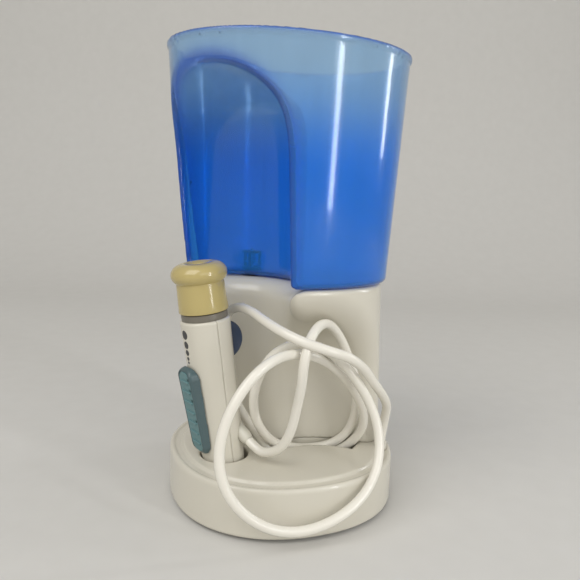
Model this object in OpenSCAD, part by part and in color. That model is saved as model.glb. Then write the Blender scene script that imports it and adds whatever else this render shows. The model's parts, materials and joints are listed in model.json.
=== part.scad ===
// Countertop water flosser: a round base with a hose niche and a pump column, a lift-off water tank with a
// scalloped alcove, and a leaning spray handle that stands in a socket and is joined to the base by a hose.
// Millimetres, +Z up. The origin is the centre of the footprint, on the surface that the feet stand on.
// The handle stands at the front left (-X, -Y); the mains inlet is at the back (+Y).

/* [Base] */
// Width of the base, left to right
base_w = 118; // [112:1:126]
// Depth of the base, front to back
base_d = 117; // [112:1:126]
// Height of the deck that the handle and the column stand on
deck_z = 27; // [26:0.5:28]
// Height of the rubber feet
foot_h = 2; // [1.5:0.5:2]
// Wall thickness of the mouldings
wall = 2.4; // [2:0.1:2.8]

/* [Column] */
// Half width of the column's right side at the deck
column_a = 56; // [55:0.5:56.5]
// Half width of the column's left side, behind the handle
column_left = 47; // [46:0.5:48]
// Half depth of the column at the deck
column_b = 39; // [38:0.5:41]
// Height of the column's top
column_top = 114.6; // [110:0.1:114.6]
// Radius of the domed niche that the hose hangs in
niche_r = 47; // [44:0.5:48]
// Radius of the scoop behind the handle
scoop_r = 30; // [28:0.5:31]

/* [Tank] */
// Half width of the tank at its rim
rim_a = 61.3; // [58:0.1:63]
// Half depth of the tank at its rim
rim_b = 46; // [44:0.1:48]
// Half width of the tank at its floor
floor_a = 55.3; // [53:0.1:56]
// Half depth of the tank at its floor
floor_b = 38.3; // [37:0.1:40]
// Height of the tank's rim
rim_z = 229; // [226:1:235]
// Thickness of the tank's wall
tank_wall = 2.2; // [1.8:0.1:2.6]
// Radius of the alcove that clears the handle
alcove_r = 33.5; // [33:0.5:34.5]

/* [Handle] */
// Angle that the handle leans outwards
handle_lean = 8.2; // [7:0.2:9]
// Turn of the handle about its own axis
handle_turn = 15; // [10:1:20]
// Radius of the handle's body at its top
handle_r = 12.4; // [12:0.1:12.6]
// Radius of the handle's body at its foot
handle_low_r = 10.4; // [10:0.1:11]
// Length of the body above the deck
body_top = 72; // [70:1:74]
// Depth of the socket that the handle stands in
socket_depth = 15; // [12:1:15]
// Largest radius of the tip knob
knob_r = 13.7; // [13.4:0.1:14.2]

/* [Hose] */
// Outer diameter of the hose
hose_d = 4.8; // [4.4:0.1:5]

/* [Pump] */
// Throw of the pump crank
crank_throw = 3.5; // [3:0.1:3.5]

/* [Hidden] */
$fn = 72;

// Base
base_a = base_w / 2;
base_b = base_d / 2;
base_n = 2.2;
rim_band = 7.4;
deck_t = 2.2;
cover_t = 2.5;
foot_r = 5;
foot_ring = 50;
screw_ring = 50;
boss_r = 3.4;
niche_c = [5, -50];
scoop_c = [-35, -15];
niche_dome_z = 57;
lip_r = 37.5;
trench_floor = 12.5;
gland_c = [48.8, -25];
gland_r = 2.6;
trench_turn = [44, 114];
inlet_z = 13;
switch_turn = 60;
switch_size = [14, 13, 15];
switch_z = 14;

// Column and tank
column_inset_top = [3.2, 1.6];
port_c = [-11, 25];
port_r = 5;
tank_z = 115;
tank_n = 2.1;
alcove_c = [-33.5, -12];
alcove_turn = -141;
alcove_tilt = 12;
alcove_axis_z = 172.5;
arch_size = [34.5, 38];
arch_n = 2.4;

// Pump
motor_c = [22.6, 17.8];
motor_r = 12;
motor_z = [34, 72];
gear_c = [5, 15.5];
gear_teeth = 34;
pinion_teeth = 9;
gear_z = [26, 30];
pump_z = 19;
pump_x = [22, 38];
pump_half_y = 7;
pump_span_z = [12.5, 24.6];
bore_r = 4;
pin_r = 1.6;

// Handle
handle_foot = [-34.9, -10, deck_z];
socket_c = [-34.1, -10];
socket_r = 12.2;
body_bottom = -socket_depth + 1.5;
shell_t = 1.8;
slider_s = [3.4, 50.5];
button_s = 59.5;
screw_s = [-4, 43];
knob_start = body_top + 3.8;
relief_root = [-29.3, -11.3, 42];
relief_tip = [-24.1, -19.9, 36.3];

// Route of the hose from the base gland to the handle, laid by hand
hose_route = [[48.8018, -25.0017, 30], [48.8018, -25.0017, 32.5], [49.2, -26.5, 41.5], [47.3, -31.3, 51.8],
    [40.8, -37.5, 60.2], [32.1, -43.6, 69.1], [23.3, -48.6, 78.4], [13.5, -52.3, 85.2], [2.5, -53.5, 89.4],
    [-7.7, -49.9, 92.8], [-15.3, -41.5, 96.1], [-19.9, -30.2, 98.9], [-23.2, -16.8, 101.5],
    [-26.4, -4.9, 101.8], [-29.4, 4.7, 97.3], [-30.8, 10.3, 87.9], [-30, 11.6, 76], [-28, 9.8, 63.3],
    [-25.2, 5.7, 51.5], [-20.5, -0.4, 41.3], [-14.1, -6.3, 31.7], [-6.6, -8.4, 22.9], [3.3, -7.6, 17.4],
    [14.7, -7.8, 16.7], [25.3, -11.3, 20.1], [33.4, -16.9, 26.6], [37.5, -22.6, 35.7], [36.3, -27, 46.3],
    [30.8, -30.6, 57], [22.7, -33.5, 67.4], [13.4, -36.2, 76.3], [3, -39.7, 82.5], [-8.5, -44.1, 86.2],
    [-19.7, -48.8, 86.4], [-30, -52.6, 82.2], [-38.7, -54.9, 74], [-45.2, -56.3, 63.2],
    [-48.7, -57.7, 51.4], [-48.5, -59.6, 39.4], [-44.1, -61.3, 28.4], [-36.1, -62.3, 19.1],
    [-25.7, -63.2, 12.5], [-14, -63.9, 9.7], [-1.7, -64.1, 10.8], [10.5, -63, 14.8], [21.1, -60, 20.7],
    [29.1, -55.3, 28.5], [33.3, -50.3, 38.5], [33.3, -46.3, 49.6], [29.2, -43.7, 60.9],
    [22.1, -42.4, 71.9], [13.5, -41.1, 81.5], [3.9, -38.2, 87.6], [-6.1, -33.6, 88.4], [-14.5, -28.7, 83],
    [-20, -24.6, 73.2], [-22.3, -21.1, 61.5], [-20.9, -17.8, 49.8], [-15.8, -14.7, 38.9],
    [-7.8, -11.3, 30.3], [2.5, -8.1, 25], [13.9, -7.7, 23], [24.5, -10.8, 25], [32, -15.2, 31.9],
    [35.1, -18.4, 42.5], [34.5, -20.8, 55], [31.3, -23.5, 67.4], [25.8, -25.6, 79.6], [19.2, -27.8, 90.3],
    [11.5, -32.5, 97], [3.2, -39.7, 98], [-4.1, -47, 93.8], [-7.9, -50.1, 84.6], [-8.1, -48, 72.9],
    [-8.4, -43.8, 60], [-10.1, -40.6, 46.9], [-13.6, -35.9, 37.2], [-19, -28, 32.8],
    [-22.975, -21.761, 35.067], [-24.1, -19.9, 36.3]];

// Outline points of a superellipse with half axes a and b
function oval(a, b, n = 2, steps = 72) = [for (i = [0 : steps - 1]) let (t = 360 * i / steps)
    [a * sign(cos(t)) * pow(abs(cos(t)), 2 / n), b * sign(sin(t)) * pow(abs(sin(t)), 2 / n)]];

// Outline points of a rectangle with rounded corners
function round_rect(w, h, r, steps = 6) = [for (c = [0 : 3], i = [0 : steps]) let (t = 90 * (c + i / steps),
    sx = (c == 0 || c == 3) ? 1 : -1, sy = (c < 2) ? 1 : -1)
    [sx * (w / 2 - r) + r * cos(t), sy * (h / 2 - r) + r * sin(t)]];

function lift(points, z) = [for (p = points) [p[0], p[1], z]];
function unit(v) = v / norm(v);

// Directions along a route, and side directions carried along it without twist
function heading(route, i) = unit(route[min(i + 1, len(route) - 1)] - route[max(i - 1, 0)]);
function carried(side, along) = unit(side - along * (side * along));
function sides_of(route, side, i = 0, found = []) = i == len(route) ? found :
    let (next = carried(side, heading(route, i))) sides_of(route, next, i + 1, concat(found, [next]));

// Closed solid through a stack of rings with equal point counts
module loft(rings) {
    count = len(rings[0]);
    last = len(rings) - 1;
    points = [for (ring = rings, p = ring) p];
    walls = [for (r = [0 : last - 1], i = [0 : count - 1]) let (j = (i + 1) % count)
        each [[r * count + i, (r + 1) * count + i, (r + 1) * count + j],
              [r * count + i, (r + 1) * count + j, r * count + j]]];
    low = [for (i = [1 : count - 2]) [0, i, i + 1]];
    high = [for (i = [1 : count - 2]) [last * count, last * count + i + 1, last * count + i]];
    polyhedron(points = points, faces = concat(walls, low, high), convexity = 8);
}

// Round tube or rod swept along a route
module swept(route, radius, sides, first_side) {
    across = sides_of(route, first_side);
    rings = [for (i = [0 : len(route) - 1]) let (u = across[i], v = cross(heading(route, i), u))
        [for (k = [0 : sides - 1]) route[i] + radius * (u * cos(360 * k / sides) + v * sin(360 * k / sides))]];
    loft(rings);
}

// Coil spring of round wire along +Z
module coil(radius, wire_r, height, turns, steps = 12) {
    swept([for (i = [0 : turns * steps]) let (t = 360 * i / steps)
        [radius * cos(t), radius * sin(t), wire_r + (height - 2 * wire_r) * i / (turns * steps)]],
        wire_r, 6, [0, 0, 1]);
}

// Places children with +Z running from one point towards another
module aimed(from, to) {
    d = unit(to - from);
    translate(from) rotate([0, acos(d[2]), atan2(d[1], d[0])]) children();
}

// Disc with a toothed edge
module toothed(teeth, root_r, tip_r, height) {
    points = [for (i = [0 : teeth - 1], k = [0 : 3]) let (t = 360 * (i + [0, 0.3, 0.5, 0.8][k]) / teeth,
        r = k < 2 ? tip_r : root_r) [r * cos(t), r * sin(t)]];
    linear_extrude(height = height) polygon(points);
}

module handle_frame() {
    translate(handle_foot) rotate([0, -handle_lean, 0]) rotate([0, 0, handle_turn]) children();
}

// Base outline drawn in by a distance
module base_outline(inset) {
    polygon(oval(base_a - inset, base_b - inset, base_n, 96));
}

module ring_sector(inner, outer, from, to) {
    intersection() {
        difference() {
            circle(r = outer, $fn = 120);
            circle(r = inner, $fn = 120);
        }
        polygon(concat([[0, 0]], [for (t = [from : (to - from) / 4 : to]) 2 * outer * [cos(t), sin(t)]]));
    }
}

// The open space in front of the column: the domed niche and the scoop behind the handle
module front_space(grow) {
    translate([niche_c[0], niche_c[1], deck_z - 8])
        cylinder(r = niche_r + grow, h = niche_dome_z - deck_z + 8, $fn = 120);
    translate([niche_c[0], niche_c[1], niche_dome_z]) sphere(r = niche_r + grow, $fn = 96);
    translate([scoop_c[0], scoop_c[1], deck_z - 8]) cylinder(r = scoop_r + grow, h = 110, $fn = 120);
}

// Outline of the column, whose two sides have their own half widths
function column_outline(inset_x, inset_y) = [for (p = oval(1, 1, tank_n))
    [p[0] * ((p[0] > 0 ? column_a : column_left) - inset_x), p[1] * (column_b - inset_y)]];

module column_ring_outline(inset) {
    difference() {
        polygon(column_outline(inset, inset));
        translate(niche_c) circle(r = niche_r + inset, $fn = 120);
        translate(scoop_c) circle(r = scoop_r + inset, $fn = 120);
    }
}

function column_ring(z, inset) = let (k = (z - deck_z) / (column_top - deck_z))
    lift(column_outline(column_inset_top[0] * k + inset, column_inset_top[1] * k + inset), z);

// Base mouldings
module base_shell() color("linen") {
    difference() {
        union() {
            difference() {
                loft([for (s = [[foot_h, 1], [foot_h + 1, 0], [24.4, 0], [25.6, 0.4], [26.3, 1.3], [26.3, 2.2],
                    [25.5, 2.8], [25.5, 6.4], [26.4, 6.8], [deck_z, rim_band]])
                    lift(oval(base_a - s[1], base_b - s[1], base_n, 96), s[0])]);
                translate([0, 0, -1]) linear_extrude(height = 23.5) base_outline(wall);
                translate([0, 0, 20]) linear_extrude(height = deck_z - deck_t - 20) base_outline(rim_band + 1.4);
            }
            intersection() {
                translate([0, 0, foot_h + cover_t + 0.3]) linear_extrude(height = deck_z - foot_h - cover_t - 1)
                    base_outline(wall / 2);
                union() {
                    translate([socket_c[0], socket_c[1], deck_z - socket_depth - 1.8])
                        cylinder(r = socket_r + 1.8, h = socket_depth + 1.8);
                    translate([niche_c[0], niche_c[1], trench_floor - 2]) linear_extrude(height = 20)
                        ring_sector(lip_r - 2, niche_r + 2, trench_turn[0] - 3, trench_turn[1] + 3);
                    translate([gland_c[0], gland_c[1], deck_z - 7]) cylinder(r = gland_r + 2, h = 5);
                    for (t = [45 : 90 : 315]) rotate([0, 0, t]) translate([screw_ring, 0, foot_h + cover_t + 0.3])
                        cylinder(r = boss_r, h = 21);
                }
            }
        }
        translate([socket_c[0], socket_c[1], deck_z - socket_depth]) cylinder(r = socket_r, h = socket_depth + 12);
        translate([niche_c[0], niche_c[1], trench_floor]) linear_extrude(height = 20)
            ring_sector(lip_r, niche_r + 0.8, trench_turn[0], trench_turn[1]);
        translate([0, 0, deck_z - 4]) linear_extrude(height = 6) column_ring_outline(wall + 1.5);
        translate([gland_c[0], gland_c[1], 10]) cylinder(r = gland_r + 0.05, h = 20);
        translate([gland_c[0], gland_c[1], deck_z - 1.5]) cylinder(r = gland_r + 0.45, h = 5);
        for (t = [45 : 90 : 315]) rotate([0, 0, t]) translate([screw_ring, 0, 0]) cylinder(r = 1.2, h = 18);
        translate([0, base_b - 8, inlet_z]) rotate([-90, 0, 0]) cylinder(r = 5, h = 12);
        rotate([0, 0, switch_turn]) translate([base_a - 12, -switch_size[1] / 2, switch_z - switch_size[2] / 2])
            cube([16, switch_size[1], switch_size[2]]);
    }
}

module column_shell() color("linen") {
    difference() {
        difference() {
            loft([column_ring(deck_z, 0), column_ring(55, 0), column_ring(85, 0), column_ring(column_top - 2.4, 0),
                column_ring(column_top - 0.9, 0.7), column_ring(column_top, 2)]);
            front_space(0);
        }
        difference() {
            loft([column_ring(deck_z - 1, wall), column_ring(70, wall), column_ring(column_top - wall, wall)]);
            front_space(wall);
        }
        translate([port_c[0], port_c[1], column_top - 6]) cylinder(r = port_r, h = 10);
    }
}

module bottom_cover() color("gainsboro") {
    difference() {
        translate([0, 0, foot_h]) linear_extrude(height = cover_t) base_outline(wall + 0.2);
        for (t = [45 : 90 : 315]) rotate([0, 0, t]) translate([screw_ring, 0, 0]) {
            cylinder(r = 1.7, h = 10);
            cylinder(r = 3.2, h = foot_h + 1.3);
        }
        for (i = [-3 : 3]) translate([i * 6 - 1.2, 8, 0]) cube([2.4, 22, 10]);
        for (t = [0 : 90 : 270]) rotate([0, 0, t]) translate([foot_ring, 0, 0]) cylinder(r = 2.05, h = 10);
    }
}

module foot(turn) color("dimgray") rotate([0, 0, turn]) translate([foot_ring, 0, 0]) {
    cylinder(r1 = foot_r - 0.5, r2 = foot_r, h = foot_h);
    cylinder(r = 2, h = foot_h + cover_t + 0.4);
}

module cover_screws() color("silver") {
    for (t = [45 : 90 : 315]) rotate([0, 0, t]) translate([screw_ring, 0, foot_h]) {
        difference() {
            cylinder(r = 2.9, h = 1.3);
            translate([-2, -0.35, -1]) cube([4, 0.7, 1.7]);
            translate([-0.35, -2, -1]) cube([0.7, 4, 1.7]);
        }
        cylinder(r = 1.2, h = 12);
    }
}

module cord_inlet() color("dimgray") translate([0, base_b - 5.8, inlet_z]) rotate([-90, 0, 0]) {
    difference() {
        union() {
            cylinder(r = 4.95, h = 7.5);
            cylinder(r = 6.2, h = 2.6);
            translate([0, 0, 5.9]) cylinder(r1 = 6.2, r2 = 5.4, h = 2.3);
        }
        translate([0, 0, -1]) cylinder(r = 3, h = 14);
    }
}

module hose_gland() color("whitesmoke") translate([gland_c[0], gland_c[1], 0]) {
    difference() {
        union() {
            translate([0, 0, deck_z - 1.4]) cylinder(r = gland_r + 0.35, h = 4.4);
            translate([0, 0, 17]) cylinder(r = gland_r, h = deck_z - 17);
            translate([0, 0, 14]) cylinder(r1 = 1.8, r2 = 2.4, h = 3);
        }
        translate([0, 0, 10]) cylinder(r = 1.4, h = 25);
    }
}

module hose() color("white") swept(hose_route, hose_d / 2, 8, [1, 0, 0]);

// Water path inside the base and the column
module inlet_port() color("dimgray") translate([port_c[0], port_c[1], 0]) {
    difference() {
        union() {
            translate([0, 0, column_top - 2.6]) cylinder(r = port_r - 0.02, h = 2.6);
            translate([0, 0, column_top - 5]) cylinder(r = port_r + 1.6, h = 2.6);
            translate([0, 0, column_top - 12]) cylinder(r = 2.4, h = 8);
        }
        translate([0, 0, column_top - 2.6]) cylinder(r = 3.6, h = 10);
        translate([0, 0, column_top - 20]) cylinder(r = 1.4, h = 20);
    }
}

nipple_x = pump_x[1] + 2.5;
suction_route = [[port_c[0], port_c[1], column_top - 12], [port_c[0], port_c[1], 60], [-13, 24.5, 34], [-12.5, 25.5, 27],
    [-10, 28, 21.5], [-4, 32.5, 17.5], [8, 35, 15], [20, 32.5, 15], [29, 29.5, 16], [35, 29.2, 17.5],
    [38.8, 28.4, 18.6], [nipple_x, 27, pump_z], [nipple_x, gear_c[1] + pump_half_y + 2.4, pump_z]];
module suction_tube() color("gainsboro") swept(suction_route, 2.4, 10, [1, 0, 0]);

outlet_z = 15.5;
outlet_route = [[nipple_x, gear_c[1] - pump_half_y - 0.8, outlet_z], [nipple_x, 5, outlet_z], [42, -3, 12.5],
    [46, -13, 8.8], [47.8, -20, 8.3], [48.6, -24, 9.4], [gland_c[0], gland_c[1], 11.6], [gland_c[0], gland_c[1], 14]];
module outlet_tube() color("gainsboro") swept(outlet_route, 2.4, 10, [1, 0, 0]);

// Drive
module motor() color("silver") translate([motor_c[0], motor_c[1], 0]) {
    difference() {
        translate([0, 0, motor_z[0]]) cylinder(r = motor_r, h = motor_z[1] - motor_z[0]);
        translate([0, 0, motor_z[0] - 1]) cylinder(r = 1.6, h = 12);
    }
    translate([0, 0, motor_z[1]]) cylinder(r = 4, h = 2.5);
    for (s = [-1, 1]) translate([s * 7 - 0.4, -1.5, motor_z[1]]) cube([0.8, 3, 5]);
}

mount_posts = [[32.5, 12.2], [33, 20.5]];
module motor_mount() color("gainsboro") {
    difference() {
        union() {
            translate([0, 10, motor_z[0] - 2.5]) cube([35, 18, 2.5]);
            translate([gear_c[0], gear_c[1], gear_z[0] + 1.4]) cylinder(r = 2, h = motor_z[0] - gear_z[0] - 2.4);
            for (p = mount_posts) translate([p[0], p[1], pump_span_z[1]])
                cylinder(r = 2, h = motor_z[0] - pump_span_z[1] - 1);
        }
        translate([motor_c[0], motor_c[1], 30]) cylinder(r = 4.4, h = 20);
        for (s = [-1, 1]) translate([motor_c[0], motor_c[1] + s * 6, 30]) cylinder(r = 1.3, h = 20);
    }
}

module motor_screws() color("silver") {
    for (s = [-1, 1]) translate([motor_c[0], motor_c[1] + s * 6, motor_z[0] - 3.7]) {
        cylinder(r = 1.8, h = 1.2);
        cylinder(r = 1.25, h = 3.7);
    }
}

module motor_pinion() color("goldenrod") translate([motor_c[0], motor_c[1], 0]) {
    translate([0, 0, gear_z[0] - 0.5]) toothed(pinion_teeth, 2.6, 3.4, 5);
    translate([0, 0, gear_z[0] - 0.5]) cylinder(r = 1.2, h = motor_z[0] - gear_z[0] + 8);
}

module crank_gear() color("ivory") translate([gear_c[0], gear_c[1], 0]) {
    difference() {
        translate([0, 0, gear_z[0]]) toothed(gear_teeth, 13, 13.8, gear_z[1] - gear_z[0]);
        translate([0, 0, gear_z[0] + 1]) cylinder(r = 2.05, h = 10);
        for (t = [0 : 72 : 288]) rotate([0, 0, t]) translate([8.5, 0, gear_z[0] + 1.4]) cylinder(r = 2.4, h = 5);
    }
    translate([crank_throw, 0, pump_z - 3]) cylinder(r = pin_r, h = gear_z[0] - pump_z + 3.2);
}

module pump_plunger() color("whitesmoke") translate([gear_c[0], gear_c[1], pump_z]) {
    half_x = 2 * crank_throw + pin_r + 0.5;
    half_y = crank_throw + pin_r + 0.5;
    difference() {
        translate([-half_x - 2, -half_y - 2, -2]) cube([2 * half_x + 4, 2 * half_y + 4, 4]);
        translate([-half_x, -half_y, -3]) cube([2 * half_x, 2 * half_y, 6]);
    }
    translate([half_x + 1.9, 0, 0]) rotate([0, 90, 0]) cylinder(r = 1.9, h = 17);
    translate([half_x + 12, 0, 0]) rotate([0, 90, 0]) cylinder(r = bore_r - 0.05, h = 7.5);
}

module pump_body() color("gainsboro") {
    difference() {
        union() {
            translate([pump_x[0], gear_c[1] - pump_half_y, pump_span_z[0]])
                cube([pump_x[1] - pump_x[0], 2 * pump_half_y, pump_span_z[1] - pump_span_z[0]]);
            for (p = [[25, 11.5], [35, 19.5]]) translate([p[0], p[1], foot_h + cover_t])
                cylinder(r = 2.6, h = pump_span_z[0] - foot_h - cover_t + 1);
        }
        translate([pump_x[0] - 1, gear_c[1], pump_z]) rotate([0, 90, 0]) cylinder(r = bore_r, h = 30);
    }
}

module pump_head() color("linen") {
    difference() {
        union() {
            translate([pump_x[1], gear_c[1] - pump_half_y, pump_span_z[0]])
                cube([5, 2 * pump_half_y, pump_span_z[1] - pump_span_z[0]]);
            translate([nipple_x, gear_c[1] + pump_half_y + 2.4, pump_z]) rotate([90, 0, 0]) cylinder(r = 2.4, h = 3);
            translate([nipple_x, gear_c[1] - pump_half_y + 1, outlet_z]) rotate([90, 0, 0]) cylinder(r = 2.4, h = 1.8);
        }
        translate([pump_x[1] - 1, gear_c[1], pump_z]) rotate([0, 90, 0]) cylinder(r = 1.8, h = 3.2);
        translate([nipple_x, gear_c[1] + 14, pump_z]) rotate([90, 0, 0]) cylinder(r = 1.3, h = 15.5);
        translate([nipple_x, gear_c[1] + 4, pump_z]) sphere(r = 2);
        translate([nipple_x, gear_c[1] - 0.5, outlet_z]) rotate([90, 0, 0]) cylinder(r = 1.2, h = 12);
        translate([nipple_x, gear_c[1] - 4.6, outlet_z]) sphere(r = 2);
        translate([nipple_x, gear_c[1] - 1, outlet_z]) cylinder(r = 1.2, h = 4);
    }
}

module inlet_valve_ball() color("silver") translate([nipple_x, gear_c[1] + 4, pump_z]) sphere(r = 1.7, $fn = 32);

module outlet_valve_ball() color("silver") translate([nipple_x, gear_c[1] - 4.6, outlet_z]) sphere(r = 1.7, $fn = 32);

module circuit_board() color("seagreen") {
    difference() {
        translate([-31, 27, 8.5]) cube([26, 14, 1.6]);
        for (x = [-28.5, -7.5]) translate([x, 34, 5]) cylinder(r = 1.2, h = 8);
    }
    for (x = [-28.5, -7.5]) translate([x, 34, foot_h + cover_t]) cylinder(r = 1.2, h = 6);
    for (x = [-28.5, -7.5]) translate([x, 34, foot_h + cover_t]) cylinder(r = 2.4, h = 4);
}

module board_parts() color("black") {
    translate([-23, 31.5, 10.1]) cylinder(r = 3, h = 7);
    translate([-16, 33.5, 10.1]) cylinder(r = 2.4, h = 5);
    translate([-12.5, 28.5, 10.1]) cube([3.6, 7, 2.4]);
    translate([-20, 36.5, 10.1]) cube([7, 3, 3.6]);
}

module switch_housing() color("dimgray") rotate([0, 0, switch_turn]) translate([base_a, 0, switch_z]) {
    difference() {
        union() {
            translate([-11, -switch_size[1] / 2 + 0.02, -switch_size[2] / 2 + 0.02])
                cube([10.6, switch_size[1] - 0.04, switch_size[2] - 0.04]);
        }
        translate([-4.5, -switch_size[1] / 2 + 1.6, -switch_size[2] / 2 + 1.6])
            cube([8, switch_size[1] - 3.2, switch_size[2] - 3.2]);
    }
    for (y = [-3, 3]) translate([-14, y - 0.4, -2]) cube([3.2, 0.8, 4]);
}

module switch_rocker() color("black") rotate([0, 0, switch_turn]) translate([base_a - 1.2, 0, switch_z]) {
    intersection() {
        translate([5, 4.5, 0]) rotate([90, 0, 0]) cylinder(r = 8, h = 9);
        translate([-2.2, -4.5, -5.2]) cube([4, 9, 10.4]);
    }
}

// Tank
function tank_ring(z, inset) = let (k = (z - tank_z) / (rim_z - tank_z))
    lift(oval(floor_a + (rim_a - floor_a) * k - inset, floor_b + (rim_b - floor_b) * k - inset, tank_n), z);

// Half-round alcove with an arched, sloping roof, open at the bottom and towards the front left
module alcove(grow) {
    intersection() {
        translate([alcove_c[0], alcove_c[1], tank_z - 10]) cylinder(r = alcove_r + grow, h = 140, $fn = 120);
        translate([alcove_c[0], alcove_c[1], alcove_axis_z]) rotate([0, 0, alcove_turn])
            rotate([0, -alcove_tilt, 0]) rotate([90, 0, 90]) translate([0, 0, -60]) linear_extrude(height = 130) {
                polygon(oval(arch_size[0] + grow, arch_size[1] + grow, arch_n, 120));
                translate([-arch_size[0] - grow, -90]) square([2 * (arch_size[0] + grow), 90]);
            }
    }
}

module tank() color("dodgerblue", 0.6) {
    difference() {
        difference() {
            loft([tank_ring(tank_z, 3.2), tank_ring(tank_z + 0.8, 1.3), tank_ring(tank_z + 2.8, 0),
                tank_ring(170, 0), tank_ring(rim_z - 3, 0), tank_ring(rim_z - 2.4, -0.7), tank_ring(rim_z, -0.7)]);
            alcove(0);
        }
        difference() {
            loft([tank_ring(tank_z + 3, 5), tank_ring(tank_z + 4, 3.2), tank_ring(tank_z + 7, tank_wall),
                tank_ring(170, tank_wall), tank_ring(rim_z + 1, tank_wall - 0.4)]);
            alcove(tank_wall);
        }
        translate([port_c[0], port_c[1], tank_z - 1]) cylinder(r = 3.8, h = 6);
    }
}

module tank_valve_seat() color("dimgray") translate([port_c[0], port_c[1], 0]) {
    difference() {
        union() {
            translate([0, 0, tank_z - 1.6]) cylinder(r = 3.2, h = 2.2);
            translate([0, 0, tank_z - 0.2]) cylinder(r = 3.76, h = 3.4);
            translate([0, 0, tank_z + 3.02]) cylinder(r = 5.4, h = 1.2);
            for (t = [0 : 120 : 240]) rotate([0, 0, t]) translate([4.2, -0.7, tank_z + 4]) cube([1.2, 1.4, 8]);
            translate([0, 0, tank_z + 12]) difference() {
                cylinder(r = 5.4, h = 1);
                translate([0, 0, -1]) cylinder(r = 1.3, h = 4);
            }
        }
        translate([0, 0, tank_z - 3]) cylinder(r = 1.9, h = 8);
    }
}

module tank_valve_poppet() color("whitesmoke") translate([port_c[0], port_c[1], 0]) {
    translate([0, 0, tank_z + 6.6]) cylinder(r = 3.4, h = 1);
    translate([0, 0, tank_z - 0.4]) cylinder(r = 0.9, h = 14.6);
}

module tank_valve_spring() color("silver") translate([port_c[0], port_c[1], tank_z + 7.6])
    coil(2.2, 0.3, 4.2, 4);

// Handle, drawn about its own axis: +Z along the handle, -X its front
function body_r(s) = handle_low_r + (handle_r - handle_low_r) * (s - body_bottom) / (body_top - body_bottom);

module handle_cone(inset) {
    translate([0, 0, body_bottom + max(inset, 0)]) cylinder(r1 = handle_low_r - inset, r2 = handle_r - inset,
        h = body_top - body_bottom - 2 * max(inset, 0));
}

module handle_front_shell() color("linen") handle_frame() {
    difference() {
        intersection() {
            handle_cone(0);
            translate([-20, -20, body_bottom - 1]) cube([19.95, 40, 100]);
        }
        handle_cone(shell_t);
        translate([-20, -2.4, 22]) cube([15, 4.8, 16]);
        translate([0, 0, body_top - 4]) cylinder(r = 8.1, h = 10);
    }
}

module handle_rear_shell() color("linen") handle_frame() {
    difference() {
        intersection() {
            handle_cone(0);
            translate([0.05, -20, body_bottom - 3]) cube([20, 40, 100]);
        }
        handle_cone(shell_t);
        translate([5, -5.9, button_s - 9.9]) cube([12, 11.8, 19.8]);
        translate([0, 0, body_top - 4]) cylinder(r = 8.1, h = 10);
        for (s = screw_s) translate([5, 0, s]) rotate([0, 90, 0]) cylinder(r = 1.5, h = 12);
        relief_local() translate([0, 0, -3]) cylinder(r = 3.4, h = 14);
    }
}

// The strain relief's axis, seen from inside the handle's own frame
module relief_local() {
    rotate([0, 0, -handle_turn]) rotate([0, handle_lean, 0]) translate(-handle_foot)
        aimed(relief_root, relief_tip) children();
}

module handle_collar() color("gray") handle_frame() translate([0, 0, body_top]) {
    difference() {
        union() {
            cylinder(r = 11.4, h = 3.4);
            translate([0, 0, -2.2]) cylinder(r = 8.05, h = 3);
        }
        translate([0, 0, -4]) cylinder(r = 6.55, h = 10);
    }
}

module level_dots() color("dimgray") handle_frame() {
    for (d = [[66, 2.3], [60.9, 1.9], [57, 1.5], [54, 1], [52, 0.7]])
        intersection() {
            rotate([0, 0, 3]) translate([-20, 0, d[0]]) rotate([0, 90, 0]) cylinder(r = d[1], h = 15, $fn = 32);
            difference() {
                handle_cone(-0.15);
                handle_cone(0);
            }
        }
}

module valve_block() color("gainsboro") handle_frame() {
    difference() {
        union() {
            translate([-4.5, -5, 20]) cube([9, 10, 18]);
            for (y = [-1, 1]) translate([-3, y * 6 - 2.75, 24]) cube([5.4, 5.5, 8]);
        }
        translate([-1, 0, 10]) cylinder(r = 1.4, h = 40);
        translate([-6, 0, 29]) rotate([0, 90, 0]) cylinder(r = 1.6, h = 5);
    }
}

module water_pipe() color("whitesmoke") handle_frame() {
    difference() {
        union() {
            translate([-1, 0, 38]) cylinder(r = 2.6, h = 12);
            translate([-4.5, 0, 46]) cylinder(r = 2.6, h = body_top - 5.3 - 46);
            translate([-4.5, -2.6, 46]) cube([3.5, 5.2, 4]);
        }
        translate([-1, 0, 30]) cylinder(r = 1.4, h = 19);
        translate([-4.5, 0, 47]) cylinder(r = 1.4, h = 40);
        translate([-4.5, -1, 47]) cube([3.5, 2, 2]);
    }
}

module feed_pipe() color("whitesmoke") handle_frame() {
    difference() {
        translate([-1, 0, 12]) cylinder(r = 2.6, h = 8);
        translate([-1, 0, 11]) cylinder(r = 1.4, h = 10);
    }
}

module jet_socket() color("whitesmoke") handle_frame() {
    difference() {
        union() {
            translate([0, 0, body_top - 5.3]) cylinder(r = 7.8, h = 3.1);
            translate([0, 0, body_top - 3]) cylinder(r = 6.5, h = 8);
            translate([0, 0, body_top + 4.2]) cylinder(r = 8, h = 12.8);
        }
        translate([0, 0, body_top - 3]) cylinder(r = 2.8, h = 30);
        translate([-4.5, 0, body_top - 6]) cylinder(r = 1.4, h = 4.4);
        translate([-4.5, -1, body_top - 3]) cube([4, 2, 1.4]);
        translate([0, 0, body_top + 10]) rotate_extrude() translate([8.2, 0]) circle(r = 1, $fn = 24);
    }
}

module knob_seal() color("black") handle_frame() translate([0, 0, body_top + 10])
    rotate_extrude() translate([8.15, 0]) circle(r = 0.9, $fn = 24);

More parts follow.
